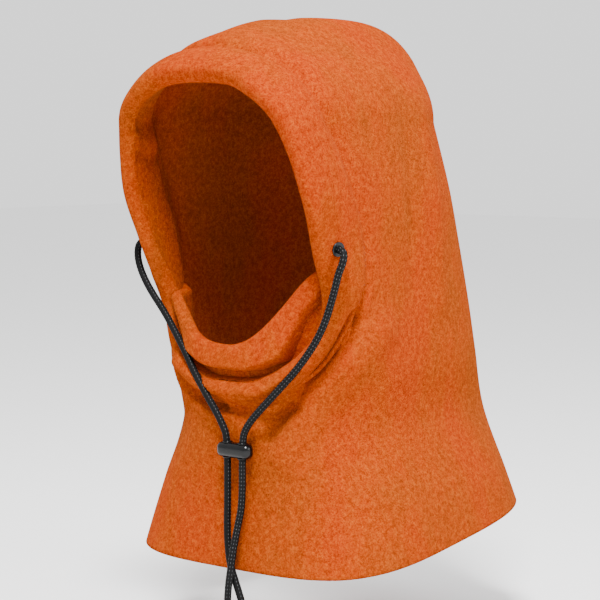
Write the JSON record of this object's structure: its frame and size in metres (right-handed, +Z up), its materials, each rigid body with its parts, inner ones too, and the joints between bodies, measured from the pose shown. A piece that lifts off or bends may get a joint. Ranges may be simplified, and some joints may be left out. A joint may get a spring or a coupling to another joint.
{
  "type": "balaclava",
  "caption": "Fleece hood balaclava with a face opening, drawcord channel, braided cord with a slider, pull-up mask collar and neck cape",
  "frame": {"origin": "inside the top of the crown, where the wearer's head carries the hood", "axes": "+Z up, the wearer faces -Y, the wearer's left is +X; the cloth is mirror symmetric about X = 0"},
  "size_m": [0.2292, 0.2902, 0.4462],
  "materials": {
    "fleece": "brushed heather fleece, matt",
    "mask_fleece": "brushed heather fleece, matt",
    "thread": "spun polyester sewing thread",
    "label_tape": "blank woven tape",
    "cord_braid": "round braided polyester cord, black with grey flecks",
    "eyelet_metal": "black enamelled brass, worn on the rim",
    "slider_plastic": "moulded black nylon, satin"
  },
  "bodies": {
    "root": {"hood_half_left": "fleece", "hood_half_right": "fleece", "casing_left": "fleece", "casing_right": "fleece", "casing_stitches_left": "thread", "casing_stitches_right": "thread", "eyelet_left": "eyelet_metal", "eyelet_right": "eyelet_metal", "eyelet_washer_left": "eyelet_metal", "eyelet_washer_right": "eyelet_metal", "centre_seam_stitches": "thread", "care_label": "label_tape", "drawcord_channel": "cord_braid", "drawcord_left": "cord_braid", "drawcord_right": "cord_braid", "knot_left": "cord_braid", "knot_right": "cord_braid"},
    "slider": {"cord_slider": "slider_plastic"},
    "mask": {"mask_panel": "mask_fleece"}
  },
  "joints": [
    {"name": "slider_travel", "type": "slide", "parent": "root", "child": "slider", "axis": [0, 0, -1], "range_m": [0, 0.022]},
    {"name": "mask_lift", "type": "slide", "parent": "root", "child": "mask", "axis": [0, 0, 1], "range_m": [0, 0.05]}
  ]
}
